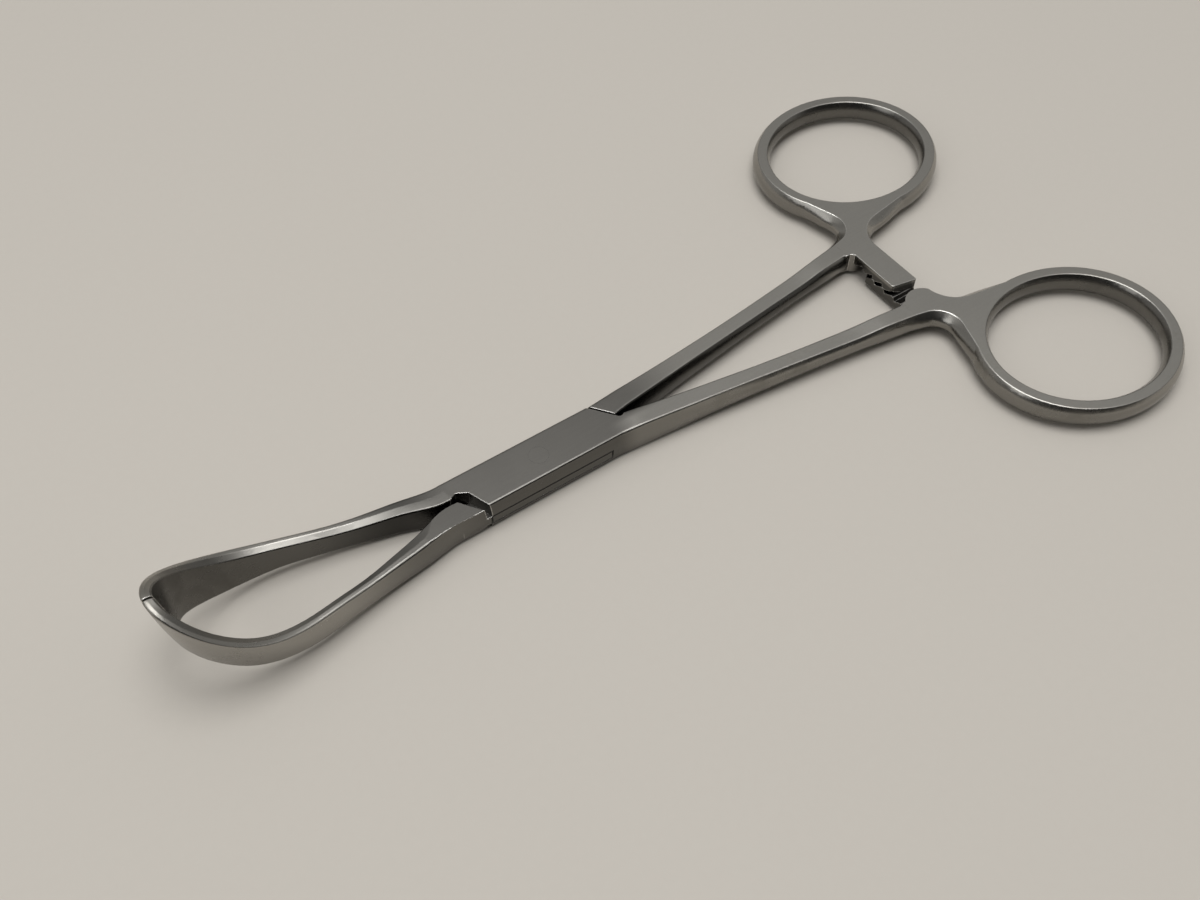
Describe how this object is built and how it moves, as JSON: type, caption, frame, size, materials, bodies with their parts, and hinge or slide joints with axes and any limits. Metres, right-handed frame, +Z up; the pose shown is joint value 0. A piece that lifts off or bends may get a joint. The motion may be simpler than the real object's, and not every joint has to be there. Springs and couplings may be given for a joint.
{
  "type": "towel clamp",
  "caption": "Ring-handled surgical towel clamp with a box lock, interlocking ratchet arms and an up-curved loop of two blunt blades.",
  "frame": {"origin": "on the table plane, under the middle of the clamp's length and width", "axes": "+X from the tips to the finger rings, +Y to the ring of the half whose tongue passes through the box, +Z up, out of the flat top of the box and towards the side the blade tips curve to"},
  "size_m": [0.1352, 0.074, 0.0154],
  "materials": {
    "satin_steel": "satin ground stainless steel",
    "pin_steel": "stainless pin ground flush with the box"
  },
  "bodies": {
    "box_side": {"female_half": "satin_steel", "pivot_pin": "pin_steel"},
    "tongue_side": {"male_half": "satin_steel"}
  },
  "joints": [
    {"name": "box_lock_pivot", "type": "hinge", "parent": "box_side", "child": "tongue_side", "pos_m": [-0.01897, 0, 0.0023], "axis": [0, 0, 1], "range_deg": [0, 60]}
  ]
}
